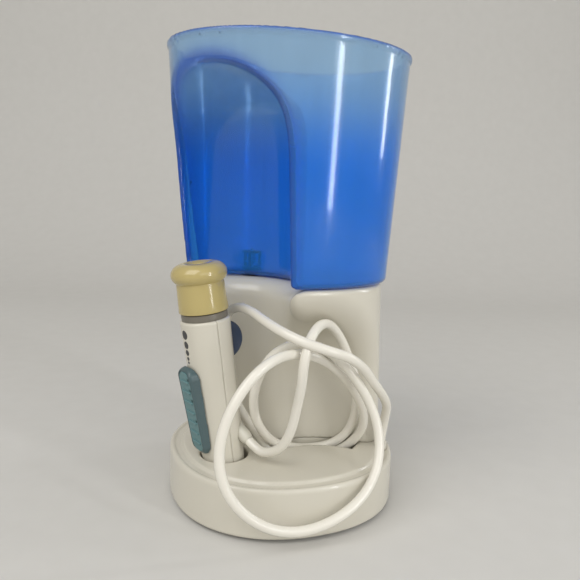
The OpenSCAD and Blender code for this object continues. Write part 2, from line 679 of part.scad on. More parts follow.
module handle_screws() color("silver") handle_frame() {
    for (s = screw_s) translate([-2, 0, s]) rotate([0, 90, 0]) {
        difference() {
            translate([0, 0, body_r(s) + 0.4]) cylinder(r = 1.45, h = 1.4);
            translate([-1.2, -0.25, body_r(s) + 1.4]) cube([2.4, 0.5, 2]);
        }
        translate([0, 0, 5]) cylinder(r = 0.8, h = body_r(s) - 4.4);
    }
}

module strain_relief() color("whitesmoke") {
    length = norm(relief_tip - relief_root);
    aimed(relief_root, relief_tip) difference() {
        union() {
            cylinder(r = 3.36, h = length - 4);
            translate([0, 0, length - 4]) cylinder(r1 = 3.36, r2 = 2.8, h = 4);
        }
        translate([0, 0, -1]) cylinder(r = 1.4, h = 20);
    }
}

// Tip knob: a flared skirt below a round, bulging cap
function arc(c, rx, ry, from, to, steps) = [for (i = [0 : steps]) let (t = from + (to - from) * i / steps)
    [c[0] + rx * cos(t), c[1] + ry * sin(t)]];
knob_profile = concat([[8.5, 0], [12, 0], [12.2, 0.4], [11.9, 8], [11.7, 13.4]],
    arc([knob_r - 6, 18.4], 6, 5.3, -50, 90, 10), [[6, 23.7], [4.6, 22.9], [2.9, 22.7], [2.9, 16.5], [9.3, 16],
    [9.3, 1.2], [8.5, 1.2]]);
module tip_knob() color("khaki") handle_frame() translate([0, 0, knob_start]) rotate_extrude() polygon(knob_profile);

// Slider
module slider_outline(grow) {
    rotate([0, -90, 0]) linear_extrude(height = 12) polygon(round_rect(slider_s[1] - slider_s[0] + grow, 14.4 + grow, 6.4));
}

slider_mid = (slider_s[0] + slider_s[1]) / 2;
slider_width = 14;
pad_face = 14.5;
pad_tilt = 3.7;
rib_pitch = 5.4;

// Frame of the slider's grip face: -X out of the face, Z along it
module face_frame() {
    translate([-pad_face, 0, slider_mid]) rotate([0, -pad_tilt, 0]) children();
}

module pressure_slider() color("darkslategray") handle_frame() {
    length = slider_s[1] - slider_s[0];
    difference() {
        intersection() {
            translate([-6, 0, slider_mid]) slider_outline(0);
            face_frame() translate([0, slider_width / 2, 0]) rotate([90, 0, 0]) linear_extrude(height = slider_width)
                translate([8, 0]) polygon(round_rect(16, length, 4.5));
        }
        handle_cone(-0.65);
        face_frame() translate([-0.4, 0, 0]) rotate([0, 90, 0]) linear_extrude(height = 1.2)
            polygon(round_rect(length - 3.4, 11, 5));
    }
    translate([-13.2, -1.9, 25.5]) cube([7, 3.8, 4]);
}

module slider_pad() color("cadetblue") handle_frame() face_frame() {
    length = slider_s[1] - slider_s[0];
    difference() {
        union() {
            intersection() {
                translate([0.2, 0, 0]) rotate([0, 90, 0]) linear_extrude(height = 0.55)
                    polygon(round_rect(length - 3.5, 10.9, 5));
                translate([-10, -10, -length / 2 + 2.4]) cube([40, 20, length - 4.8]);
            }
            for (i = [-3 : 3]) translate([-0.5, -4, rib_pitch * i - 0.6]) cube([1, 8, 1.2]);
        }
        for (i = [-3 : 3]) translate([-1, -4.4, rib_pitch * i + 1.6]) rotate([0, 90, 0])
            cylinder(r = 0.7, h = 1.6, $fn = 24);
    }
}

// Tip eject button with its return spring and the latch that holds the jet tip
module eject_button() color("midnightblue") handle_frame() translate([0, 0, button_s]) {
    intersection() {
        translate([7.1, 5.5, 0]) rotate([90, 0, 0]) cylinder(r = 9.7, h = 11);
        translate([10.6, -5.5, -10]) cube([12, 11, 20]);
    }
    translate([8.6, -5.2, -7.5]) cube([2.2, 10.4, 14.2]);
}

module eject_spring() color("silver") handle_frame() translate([8.6, 0, button_s - 3]) rotate([0, -90, 0])
    coil(2.2, 0.35, 4.6, 4);

module tip_latch() color("whitesmoke") handle_frame() translate([7.1, -2, button_s + 2.4]) cube([1.5, 4, 4]);

base_shell();
column_shell();
bottom_cover();
foot(0);  // foot_1
foot(90);  // foot_2
foot(180);  // foot_3
foot(270);  // foot_4
cover_screws();
cord_inlet();
hose_gland();
hose();
inlet_port();
suction_tube();
outlet_tube();
motor();
motor_mount();
motor_screws();
motor_pinion();
crank_gear();
pump_plunger();
pump_body();
pump_head();
inlet_valve_ball();
outlet_valve_ball();
circuit_board();
board_parts();
switch_housing();
switch_rocker();
tank();
tank_valve_seat();
tank_valve_poppet();
tank_valve_spring();
handle_front_shell();
handle_rear_shell();
handle_collar();
level_dots();
valve_block();
feed_pipe();
water_pipe();
jet_socket();
knob_seal();
handle_screws();
strain_relief();
tip_knob();
pressure_slider();
slider_pad();
eject_button();
eject_spring();
tip_latch();
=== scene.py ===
# %% [markdown]
# # Countertop water flosser
# A round base carries a pump column, a translucent water tank sits on the column, and a handle stands in a
# socket in front. One loose hose runs from the base to the handle. This notebook dresses the CAD assembly:
# every moulding keeps its place and its joint, and gets the roundings, ribs and finishes of the real
# mouldings.

# %% Load the frame
import bpy, bmesh, json, math
import numpy as np
from mathutils import Matrix, Vector


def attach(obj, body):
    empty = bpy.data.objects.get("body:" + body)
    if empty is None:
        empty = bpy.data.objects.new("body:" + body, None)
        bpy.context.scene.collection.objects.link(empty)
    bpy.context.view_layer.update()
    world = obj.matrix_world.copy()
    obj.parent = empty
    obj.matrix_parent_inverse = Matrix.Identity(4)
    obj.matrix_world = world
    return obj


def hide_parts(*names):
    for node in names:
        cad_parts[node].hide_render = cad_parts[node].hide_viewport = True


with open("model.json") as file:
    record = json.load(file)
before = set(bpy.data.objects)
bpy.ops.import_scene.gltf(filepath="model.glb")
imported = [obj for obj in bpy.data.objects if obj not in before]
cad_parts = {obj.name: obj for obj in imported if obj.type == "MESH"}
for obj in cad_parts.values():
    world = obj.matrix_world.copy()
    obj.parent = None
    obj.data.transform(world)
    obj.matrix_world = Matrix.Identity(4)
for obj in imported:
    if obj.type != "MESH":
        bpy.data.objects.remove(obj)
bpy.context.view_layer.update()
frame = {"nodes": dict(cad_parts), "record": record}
MM = 0.001

# %% [markdown]
# ## Camera
# A table-top product shot: the camera stands a third of a metre away, a little above the object and
# slightly to its left, with a moderately wide lens. The three axes of the camera are written down and
# turned by a small roll.

# %% Camera
camera_data = bpy.data.cameras.new("studio_camera")
camera_data.lens, camera_data.sensor_width = 37.24, 36.0
camera_data.clip_start = 0.01
studio_camera = bpy.data.objects.new("studio_camera", camera_data)
bpy.context.scene.collection.objects.link(studio_camera)
bpy.context.scene.camera = studio_camera
right, up = Vector((0.9348, -0.3551, 0)), Vector((0.0531, 0.1398, 0.9887))
back = Vector((-0.3511, -0.9243, 0.1495))
roll = math.radians(1.96)
camera_x = right * math.cos(roll) + up * math.sin(roll)
camera_y = up * math.cos(roll) - right * math.sin(roll)
turned = Matrix((camera_x, camera_y, back)).transposed().to_4x4()
studio_camera.matrix_world = Matrix.Translation((-0.1092, -0.2949, 0.1570)) @ turned
print("camera", [round(v, 3) for v in studio_camera.matrix_world.translation])

# %% [markdown]
# ## Finishes
# Moulded plastic is never one flat colour: pigment drifts a little, gloss breaks up where hands polish it,
# and the surface has a very shallow orange-peel wave. All three come from one shader group, so every
# plastic on the object shares it with its own values. The group puts out only a colour, a roughness and a
# height.

# %% The shared moulding group
def build_moulding_group():
    group = bpy.data.node_groups.new("moulded_surface", "ShaderNodeTree")
    inputs = (("Colour", "NodeSocketColor", (0.8, 0.8, 0.8, 1)), ("Gloss", "NodeSocketFloat", 0.3),
              ("Drift", "NodeSocketFloat", 0.05), ("Grain size", "NodeSocketFloat", 900.0))
    outputs = (("Colour", "NodeSocketColor"), ("Roughness", "NodeSocketFloat"), ("Height", "NodeSocketFloat"))
    for name, kind, value in inputs:
        group.interface.new_socket(name, in_out="INPUT", socket_type=kind).default_value = value
    for name, kind in outputs:
        group.interface.new_socket(name, in_out="OUTPUT", socket_type=kind)
    nodes, links = group.nodes, group.links
    given, made = nodes.new("NodeGroupInput"), nodes.new("NodeGroupOutput")
    place = nodes.new("ShaderNodeTexCoord")
    drift = nodes.new("ShaderNodeTexNoise")
    drift.inputs["Scale"].default_value, drift.inputs["Detail"].default_value = 28, 3
    grain = nodes.new("ShaderNodeTexNoise")
    grain.inputs["Detail"].default_value = 2
    links.new(place.outputs["Object"], drift.inputs["Vector"])
    links.new(place.outputs["Object"], grain.inputs["Vector"])
    links.new(given.outputs["Grain size"], grain.inputs["Scale"])
    value = math_node(group, "MULTIPLY_ADD", math_node(group, "SUBTRACT", drift.outputs["Fac"], 0.5),
                      given.outputs["Drift"], 1.0)
    shade = nodes.new("ShaderNodeHueSaturation")
    links.new(given.outputs["Colour"], shade.inputs["Color"])
    links.new(value, shade.inputs["Value"])
    rough = math_node(group, "MULTIPLY_ADD", math_node(group, "SUBTRACT", grain.outputs["Fac"], 0.5), 0.12,
                      given.outputs["Gloss"])
    wave = math_node(group, "MULTIPLY_ADD", drift.outputs["Fac"], 0.5, grain.outputs["Fac"])
    links.new(shade.outputs["Color"], made.inputs["Colour"])
    links.new(rough, made.inputs["Roughness"])
    links.new(wave, made.inputs["Height"])
    return group


def math_node(tree, operation, *values):
    node = tree.nodes.new("ShaderNodeMath")
    node.operation = operation
    for socket, value in zip(node.inputs, values):
        if isinstance(value, bpy.types.NodeSocket):
            tree.links.new(value, socket)
        else:
            socket.default_value = value
    return node.outputs[0]


moulding = build_moulding_group()
print("moulding group sockets:", [item.name for item in moulding.interface.items_tree])

# %% A material for each finish
def finish(name, colour, gloss=0.3, drift=0.06, grain=900, bump=0.04, coat=0.0, metal=0.0, subsurface=0.0):
    material = bpy.data.materials.new(name)
    material.use_nodes = True
    tree = material.node_tree
    shader = tree.nodes["Principled BSDF"]
    surface = tree.nodes.new("ShaderNodeGroup")
    surface.node_tree = moulding
    surface.inputs["Colour"].default_value = (*colour, 1)
    surface.inputs["Gloss"].default_value = gloss
    surface.inputs["Drift"].default_value = drift
    surface.inputs["Grain size"].default_value = grain
    relief = tree.nodes.new("ShaderNodeBump")
    relief.inputs["Strength"].default_value = bump
    relief.inputs["Distance"].default_value = 0.0004
    tree.links.new(surface.outputs["Colour"], shader.inputs["Base Color"])
    tree.links.new(surface.outputs["Roughness"], shader.inputs["Roughness"])
    tree.links.new(surface.outputs["Height"], relief.inputs["Height"])
    tree.links.new(relief.outputs["Normal"], shader.inputs["Normal"])
    shader.inputs["Coat Weight"].default_value = coat
    shader.inputs["Coat Roughness"].default_value = 0.12
    shader.inputs["Metallic"].default_value = metal
    shader.inputs["Subsurface Weight"].default_value = subsurface
    shader.inputs["Subsurface Scale"].default_value = 0.002
    return material


housing_finish = finish("housing_plastic_finish", (0.63, 0.60, 0.515), gloss=0.24, drift=0.05, coat=0.25)
hose_finish = finish("hose_vinyl_finish", (0.78, 0.75, 0.67), gloss=0.25, grain=1400, coat=0.3)
relief_finish = finish("relief_plastic_finish", (0.62, 0.60, 0.52), gloss=0.32)
cream_finish = finish("cream_knob_finish", (0.47, 0.38, 0.15), gloss=0.2, coat=0.4)
navy_finish = finish("navy_button_finish", (0.022, 0.04, 0.085), gloss=0.22, coat=0.4)
slider_finish = finish("teal_slider_finish", (0.07, 0.115, 0.125), gloss=0.34, grain=1200, bump=0.08)
pad_finish = finish("teal_pad_finish", (0.12, 0.235, 0.25), gloss=0.5, grain=1500, bump=0.12)
grey_finish = finish("grey_collar_finish", (0.17, 0.155, 0.125), gloss=0.35)
dot_finish = finish("grey_ink_finish", (0.055, 0.055, 0.057), gloss=0.5, grain=2000)
print("first finishes:", len(bpy.data.materials))

# %% [markdown]
# ## Finishes of the inner parts
# The parts that only show when the machine is opened keep their CAD shape. Each gets the finish of its
# material slot: turned steel with fine lathe grain, brass, rubber, the green board, the black parts
# soldered on it.

# %% Inner finishes
slot_finish = {
    "housing_plastic": housing_finish, "hose_vinyl": hose_finish, "cream_plastic": cream_finish,
    "navy_plastic": navy_finish, "teal_dark": slider_finish, "teal_light": pad_finish,
    "grey_plastic": grey_finish,
    "white_plastic": finish("white_acetal_finish", (0.72, 0.72, 0.69), gloss=0.33),
    "cover_plastic": finish("cover_plastic_finish", (0.60, 0.59, 0.55), gloss=0.45, grain=1500, bump=0.1),
    "pump_plastic": finish("pump_plastic_finish", (0.56, 0.55, 0.50), gloss=0.4, grain=1300, bump=0.08),
    "rubber_black": finish("black_rubber_finish", (0.022, 0.022, 0.023), gloss=0.68, grain=1800, bump=0.2),
    "black_plastic": finish("black_plastic_finish", (0.03, 0.03, 0.032), gloss=0.36),
    "steel": finish("drawn_steel_finish", (0.58, 0.57, 0.55), gloss=0.28, grain=2400, bump=0.06, metal=1.0),
    "brass": finish("brass_finish", (0.66, 0.46, 0.17), gloss=0.27, grain=2200, bump=0.05, metal=1.0),
    "board_green": finish("board_mask_finish", (0.02, 0.14, 0.05), gloss=0.3, drift=0.3, grain=1200,
                          bump=0.12),
    "tube_vinyl": finish("clear_tube_finish", (0.62, 0.62, 0.56), gloss=0.2, coat=0.4, subsurface=0.2),
}
print("finishes by slot:", len(slot_finish))

# %% [markdown]
# ## Hose
# The water hose is a 4.8 mm vinyl tube, 0.93 m long. It leaves the deck of the base through a gland, climbs
# across the niche of the column in tight, springy turns, hangs over the trench in the deck and ends in the
# strain relief of the handle. The route's points are joined by a Catmull-Rom curve, because vinyl bends
# evenly between them, and the curve gets a round bevel.

# %% The hose's route and its curve
hose_diameter = 0.0048
hose_route = [
    (0.0488, -0.025, 0.03), (0.0488, -0.025, 0.0325), (0.0492, -0.0265, 0.0415), (0.0473, -0.0313, 0.0518),
    (0.0408, -0.0375, 0.0602), (0.0321, -0.0436, 0.0691), (0.0233, -0.0486, 0.0784),
    (0.0135, -0.0523, 0.0852), (0.0025, -0.0535, 0.0894), (-0.0077, -0.0499, 0.0928),
    (-0.0153, -0.0415, 0.0961), (-0.0199, -0.0302, 0.0989), (-0.0232, -0.0168, 0.1015),
    (-0.0264, -0.0049, 0.1018), (-0.0294, 0.0047, 0.0973), (-0.0308, 0.0103, 0.0879),
    (-0.03, 0.0116, 0.076), (-0.028, 0.0098, 0.0633), (-0.0252, 0.0057, 0.0515),
    (-0.0205, -0.0004, 0.0413), (-0.0141, -0.0063, 0.0317), (-0.0066, -0.0084, 0.0229),
    (0.0033, -0.0076, 0.0174), (0.0147, -0.0078, 0.0167), (0.0253, -0.0113, 0.0201),
    (0.0334, -0.0169, 0.0266), (0.0375, -0.0226, 0.0357), (0.0363, -0.027, 0.0463),
    (0.0308, -0.0306, 0.057), (0.0227, -0.0335, 0.0674), (0.0134, -0.0362, 0.0763),
    (0.003, -0.0397, 0.0825), (-0.0085, -0.0441, 0.0862), (-0.0197, -0.0488, 0.0864),
    (-0.03, -0.0526, 0.0822), (-0.0387, -0.0549, 0.074), (-0.0452, -0.0563, 0.0632),
    (-0.0487, -0.0577, 0.0514), (-0.0485, -0.0596, 0.0394), (-0.0441, -0.0613, 0.0284),
    (-0.0361, -0.0623, 0.0191), (-0.0257, -0.0632, 0.0125), (-0.014, -0.0639, 0.0097),
    (-0.0017, -0.0641, 0.0108), (0.0105, -0.063, 0.0148), (0.0211, -0.06, 0.0207),
    (0.0291, -0.0553, 0.0285), (0.0333, -0.0503, 0.0385), (0.0333, -0.0463, 0.0496),
    (0.0292, -0.0437, 0.0609), (0.0221, -0.0424, 0.0719), (0.0135, -0.0411, 0.0815),
    (0.0039, -0.0382, 0.0876), (-0.0061, -0.0336, 0.0884), (-0.0145, -0.0287, 0.083),
    (-0.02, -0.0246, 0.0732), (-0.0223, -0.0211, 0.0615), (-0.0209, -0.0178, 0.0498),
    (-0.0158, -0.0147, 0.0389), (-0.0078, -0.0113, 0.0303), (0.0025, -0.0081, 0.025),
    (0.0139, -0.0077, 0.023), (0.0245, -0.0108, 0.025), (0.032, -0.0152, 0.0319),
    (0.0351, -0.0184, 0.0425), (0.0345, -0.0208, 0.055), (0.0313, -0.0235, 0.0674),
    (0.0258, -0.0256, 0.0796), (0.0192, -0.0278, 0.0903), (0.0115, -0.0325, 0.097),
    (0.0032, -0.0397, 0.098), (-0.0041, -0.047, 0.0938), (-0.0079, -0.0501, 0.0846),
    (-0.0081, -0.048, 0.0729), (-0.0084, -0.0438, 0.06), (-0.0101, -0.0406, 0.0469),
    (-0.0136, -0.0359, 0.0372), (-0.019, -0.028, 0.0328), (-0.023, -0.0218, 0.0351),
    (-0.0241, -0.0199, 0.0363)
]


def smooth_route(points, steps):
    points = [Vector(p) for p in points]
    padded = [points[0] * 2 - points[1], *points, points[-1] * 2 - points[-2]]
    smooth = []
    for i in range(1, len(padded) - 2):
        a, b, c, d = padded[i - 1:i + 3]
        for k in range(steps):
            t = k / steps
            smooth.append(0.5 * (2 * b + (c - a) * t + (2 * a - 5 * b + 4 * c - d) * t ** 2
                                 + (3 * b - a - 3 * c + d) * t ** 3))
    return smooth + [points[-1]]


hose_points = smooth_route(hose_route, 3)
hose_curve = bpy.data.curves.new("water_hose", "CURVE")
hose_curve.dimensions, hose_curve.bevel_depth, hose_curve.bevel_resolution = "3D", hose_diameter / 2, 5
hose_curve.use_fill_caps = True
spline = hose_curve.splines.new("POLY")
spline.points.add(len(hose_points) - 1)
for point, place in zip(spline.points, hose_points):
    point.co = (*place, 1)
spline.use_smooth = True
hose_curve.materials.append(hose_finish)
water_hose = bpy.data.objects.new("water_hose", hose_curve)
bpy.context.scene.collection.objects.link(water_hose)
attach(water_hose, "root")
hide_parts("hose")

# %% [markdown]
# ## Skins from a distance field
# The tank and the column are blends of a few simple volumes with soft edges between them. Booleans leave
# hard edges that a bevel can't always follow, so these two shells come from a distance field: each volume
# is a formula that is negative inside, two volumes meet in a true fillet, and a net of quads is laid where
# the formula is zero. The points of the net are then walked onto the exact surface, so a coarse net still
# gives a smooth moulding.

# %% Formulas for the volumes, in millimetres
def oval_side(x, y, half_x, half_y, power):
    """Distance to an upright wall whose outline is a rounded oval."""
    u, v = np.abs(x / half_x) + 1e-6, np.abs(y / half_y) + 1e-6
    reach = (u ** power + v ** power) ** (1 / power)
    slope = np.hypot((u / reach) ** (power - 1) / half_x, (v / reach) ** (power - 1) / half_y)
    return (reach - 1) / slope


def fillet(a, b, radius):
    """The shared part of two volumes, its edge rounded to the radius."""
    u, v = np.maximum(a + radius, 0), np.maximum(b + radius, 0)
    return np.minimum(np.maximum(a, b), -radius) + np.hypot(u, v)


def drum(x, y, centre, radius):
    return np.hypot(x - centre[0], y - centre[1]) - radius


corner = fillet(np.array(-1.0), np.array(-1.0), 3.0)
print("a 3 mm fillet, 1 mm inside both walls, reads", round(float(corner), 3), "mm")

# %% Lay a net on a formula
def net_over(field, low, high, cell):
    """Points and quads of the surface where field is zero, in a box of square cells."""
    axes = [np.arange(lo, hi + cell, cell) for lo, hi in zip(low, high)]
    values = field(*np.meshgrid(*axes, indexing="ij"))
    inside = values < 0
    shape = np.array(values.shape) - 1
    summed, count = np.zeros((*shape, 3)), np.zeros(shape)
    corners = [(i, j, k) for i in (0, 1) for j in (0, 1) for k in (0, 1)]

    def part(array, corner):
        return array[tuple(slice(c, c + n) for c, n in zip(corner, shape))]

    for first in corners:
        for axis in range(3):
            if first[axis]:
                continue
            second = tuple(c + (n == axis) for n, c in enumerate(first))
            a, b = part(values, first), part(values, second)
            crossed = (a < 0) != (b < 0)
            t = np.where(crossed, a / np.where(crossed, a - b, 1), 0)
            for n in range(3):
                summed[..., n] += crossed * (first[n] + (t if n == axis else 0))
            count += crossed
    used = count > 0
    index = np.full(tuple(shape), -1)
    index[used] = np.arange(used.sum())
    cells = np.argwhere(used)
    points = np.array(low) + (cells + summed[used] / count[used][:, None]) * cell
    quads = []
    for axis in range(3):
        b_axis, c_axis = (axis + 1) % 3, (axis + 2) % 3
        here = [slice(0, n) for n in shape]
        ahead = list(here)
        ahead[axis] = slice(1, shape[axis] + 1)
        starts, ends = inside[tuple(here)], inside[tuple(ahead)]
        for start_inside in (True, False):
            at = np.argwhere((starts != ends) & (starts == start_inside))
            at = at[(at[:, b_axis] > 0) & (at[:, c_axis] > 0)]
            step_b, step_c = np.eye(3, dtype=int)[b_axis], np.eye(3, dtype=int)[c_axis]
            ring = [at - step_b - step_c, at - step_c, at, at - step_b]
            quad = np.stack([index[tuple(r.T)] for r in ring], 1)
            quads.append(quad if start_inside else quad[:, ::-1])
    return points, np.concatenate(quads)


def walk_onto(field, points, reach, steps=4):
    """Moves each point along the formula's slope until the formula is zero."""
    h = 0.02
    for _ in range(steps):
        x, y, z = points.T
        value = field(x, y, z)
        slope = np.stack([field(x + h, y, z) - field(x - h, y, z), field(x, y + h, z) - field(x, y - h, z),
                          field(x, y, z + h) - field(x, y, z - h)], 1) / (2 * h)
        step = slope * (value / np.maximum((slope ** 2).sum(1), 0.2))[:, None]
        length = np.linalg.norm(step, axis=1, keepdims=True)
        points = points - step * np.minimum(1, reach / np.maximum(length, 1e-9))
    return points


def net_piece(name, field, low, high, cell, material):
    points, quads = net_over(field, low, high, cell)
    points = walk_onto(field, points, 0.35 * cell)
    mesh = bpy.data.meshes.new(name)
    mesh.from_pydata((points * MM).tolist(), [], quads.tolist())
    mesh.materials.append(material)
    mesh.shade_smooth()
    return place_piece(name, mesh)


def place_piece(name, mesh):
    piece = bpy.data.objects.new(name, mesh)
    bpy.context.scene.collection.objects.link(piece)
    return piece


def dress(piece, body, slot, *nodes):
    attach(piece, body)
    if nodes:
        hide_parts(*nodes)
    print(piece.name, "rides on", body, "with", len(getattr(piece.data, "polygons", [])), "faces")


print("net tools ready")

# %% [markdown]
# ## Translucent tank
# The tank is a clear blue moulding, 2.2 mm thick, with a half-round alcove in front for the handle. Near
# the floor, where both walls and the floor are seen together, a deeper blue is painted in as painted shade
# for the longer path of light through more plastic, and the colour is painted paler towards the mouth as
# painted light from the open top. Its gloss is high, with faint upright flow lines from the mould. The
# finish is real transmission, a painted-light gradient along the height, and a thin bump for the flow lines.

# %% Tank finish
def build_tank_finish():
    material = bpy.data.materials.new("blue_tank_finish")
    material.use_nodes = True
    tree = material.node_tree
    shader = tree.nodes["Principled BSDF"]
    place = tree.nodes.new("ShaderNodeTexCoord")
    parts = tree.nodes.new("ShaderNodeSeparateXYZ")
    tree.links.new(place.outputs["Object"], parts.inputs[0])
    # Painted light: the blue is painted paler towards the mouth, for the light that comes in at the open top
    # and lights the inner wall.
    height = tree.nodes.new("ShaderNodeMapRange")
    height.interpolation_type = "SMOOTHERSTEP"
    height.inputs["From Min"].default_value, height.inputs["From Max"].default_value = 0.165, 0.224
    tree.links.new(parts.outputs["Z"], height.inputs["Value"])
    painted_mouth_light_blues = tree.nodes.new("ShaderNodeValToRGB")
    painted_mouth_light_blues.color_ramp.elements[0].color = (0.05, 0.37, 0.98, 1)
    painted_mouth_light_blues.color_ramp.elements[1].color = (0.38, 0.60, 0.84, 1)
    tree.links.new(height.outputs["Result"], painted_mouth_light_blues.inputs["Fac"])
    stretch = tree.nodes.new("ShaderNodeMapping")
    stretch.inputs["Scale"].default_value = (1, 1, 0.04)
    flow = tree.nodes.new("ShaderNodeTexNoise")
    flow.inputs["Scale"].default_value, flow.inputs["Detail"].default_value = 260, 3
    tree.links.new(place.outputs["Object"], stretch.inputs["Vector"])
    tree.links.new(stretch.outputs["Vector"], flow.inputs["Vector"])
    shade = tree.nodes.new("ShaderNodeHueSaturation")
    # Painted shade: a deeper blue is mixed in where the attribute painted on the tank is high, for the longer
    # light path through the plastic at its edges, rim and floor.
    painted_shade_folds, painted_shade_mix = tree.nodes.new("ShaderNodeAttribute"), tree.nodes.new("ShaderNodeMix")
    painted_shade_folds.attribute_name = "painted_edge_shade"
    painted_shade_mix.data_type = "RGBA"
    painted_shade_mix.inputs["B"].default_value = (0.02, 0.13, 0.72, 1)
    tree.links.new(painted_shade_folds.outputs["Fac"], painted_shade_mix.inputs["Factor"])
    tree.links.new(painted_mouth_light_blues.outputs["Color"], painted_shade_mix.inputs["A"])
    tree.links.new(painted_shade_mix.outputs["Result"], shade.inputs["Color"])
    tree.links.new(math_node(tree, "MULTIPLY_ADD", flow.outputs["Fac"], 0.16, 0.92), shade.inputs["Value"])
    relief = tree.nodes.new("ShaderNodeBump")
    relief.inputs["Strength"].default_value, relief.inputs["Distance"].default_value = 0.10, 0.0004
    tree.links.new(flow.outputs["Fac"], relief.inputs["Height"])
    tree.links.new(shade.outputs["Color"], shader.inputs["Base Color"])
    tree.links.new(relief.outputs["Normal"], shader.inputs["Normal"])
    rough = math_node(tree, "MULTIPLY_ADD", flow.outputs["Fac"], 0.06, 0.10)
    tree.links.new(rough, shader.inputs["Roughness"])
    shader.inputs["Transmission Weight"].default_value = 0.72
    shader.inputs["IOR"].default_value = 1.32
    shader.inputs["Coat Weight"].default_value = 0.3
    shader.inputs["Coat Roughness"].default_value = 0.05
    return material


tank_finish = build_tank_finish()
print("tank finish:", len(tank_finish.node_tree.nodes), "nodes")

# %% Tank shell
tank_floor, tank_rim, tank_wall = 115.0, 229.0, 2.2
floor_half_x, floor_half_y, spread_x, spread_y, tank_power = 55.3, 38.3, 6.0, 7.7, 2.1
port_centre, tank_port_radius = (-11, 25), 3.8
alcove_centre, alcove_radius = (-33.5, -12.0), 33.5
arch_turn, arch_tilt, arch_centre_z = math.radians(-141), math.radians(12), 172.5
arch_half_width, arch_half_height, arch_power = 34.5, 38.0, 2.4
arch_basis = Matrix.Rotation(arch_turn, 3, "Z") @ Matrix.Rotation(-arch_tilt, 3, "Y")


def alcove_space(x, y, z):
    """The handle's alcove: an upright drum under an arch that rises outwards."""
    across = [x - alcove_centre[0], y - alcove_centre[1], z - arch_centre_z]
    side = sum(c * arch_basis[n][1] for n, c in enumerate(across))
    rise = sum(c * arch_basis[n][2] for n, c in enumerate(across))
    arch = oval_side(side, np.maximum(rise, 0), arch_half_width, arch_half_height, arch_power)
    return fillet(drum(x, y, alcove_centre, alcove_radius), arch, 5.0)


def tank_side(x, y, z, lip):
    up_share = (z - tank_floor) / (tank_rim - tank_floor)
    return oval_side(x, y, floor_half_x + spread_x * up_share + lip, floor_half_y + spread_y * up_share + lip,
                     tank_power)


def tank_outside(x, y, z):
    lip = 0.7 * np.clip((z - tank_rim + 3.0) / 0.6, 0, 1)
    side = tank_side(x, y, z, lip)
    return fillet(fillet(side, tank_floor - z, 2.6), -alcove_space(x, y, z), 4.5)


def tank_shell(x, y, z):
    outside = tank_outside(x, y, z)
    wall = fillet(outside, -(outside + tank_wall), 0.3)
    wall = fillet(wall, z - tank_rim, 1.0)
    return np.maximum(wall, -np.maximum(drum(x, y, port_centre, tank_port_radius), z - 120))


water_tank = net_piece("water_tank", tank_shell, (-64, -49, 113), (64, 49, 231), 1.15, tank_finish)
dress(water_tank, "tank", "tank_blue", "tank")

# %% Painted shade: deeper blue along the folds, at the rim and near the floor
places = np.zeros(len(water_tank.data.vertices) * 3)
water_tank.data.vertices.foreach_get("co", places)
x, y, z = places.reshape(-1, 3).T / MM
# Painted shade, not a colour of the plastic: a deeper blue along the side and alcove edges, at the rim and
# near the floor, where light crosses more plastic.
painted_shade_reach = 3.2
off_edge = tank_side(x, y, z, 0.0) ** 2 + alcove_space(x, y, z) ** 2
painted_edge_shade = np.exp(-off_edge / (2 * painted_shade_reach ** 2))
painted_edge_shade = np.maximum(painted_edge_shade, 0.8 * np.clip((z - 227.2) / 1.2, 0, 1))
painted_edge_shade = np.maximum(painted_edge_shade, 0.6 * np.clip((119.0 - z) / 3.0, 0, 1))
water_tank.data.attributes.new("painted_edge_shade", "FLOAT", "POINT").data.foreach_set("value", np.clip(0.85 * painted_edge_shade, 0, 1))
print("points in the folds:", int((painted_edge_shade > 0.4).sum()))

# %% [markdown]
# ## Pump column
# The column is the upright housing behind the handle. Two spaces are scooped out of it: a round niche for
# the hose, closed above by a dome, and a long hollow behind the handle. Their edges roll over in a wide
# radius of 10 to 12 mm, so the front reads as one soft surface.

# %% Column shell
deck_height, column_top, column_wall = 27.0, 114.6, 2.4
column_right, column_left, column_depth, column_port_radius = 56.0, 47.0, 39.0, 5.0
niche_centre, niche_radius, niche_dome_z = (5, -50), 47, 57
scoop_centre, scoop_radius = (-35, -15), 30


def column_outside(x, y, z):
    up_share = (z - deck_height) / (column_top - deck_height)
    half_x = np.where(x > 0, column_right, column_left) - 3.2 * up_share
    side = oval_side(x, y, half_x, column_depth - 1.6 * up_share, tank_power)
    side = fillet(side, z - column_top, 2.2)
    above = np.maximum(z - niche_dome_z, 0)
    niche = np.sqrt((x - niche_centre[0]) ** 2 + (y - niche_centre[1]) ** 2 + above ** 2) - niche_radius
    scoop = drum(x, y, scoop_centre, scoop_radius)
    return fillet(fillet(side, -niche, 12.0), -scoop, 10.0)


def column_skin(x, y, z):
    outside = column_outside(x, y, z)
    wall = fillet(outside, -(outside + column_wall), 0.2)
    wall = np.maximum(wall, deck_height + 0.05 - z)
    return np.maximum(wall, -np.maximum(drum(x, y, port_centre, column_port_radius), column_top - 6 - z))


pump_column = net_piece("pump_column", column_skin, (-50, -43, 25), (59, 43, 117), 1.15, housing_finish)
dress(pump_column, "root", "housing_plastic", "column_shell")

# %% [markdown]
# ## Base
# The base is a low oval housing. Its deck has a stepped edge: a rounded rim, a shallow gutter that stops
# drips, and the raised deck. A socket for the handle, a curved trench for the hose, the gland's seat, the
# cord inlet and the switch window are cut into it. The height of the deck is given as a profile over the
# distance from the outer wall, so the whole edge is one formula.

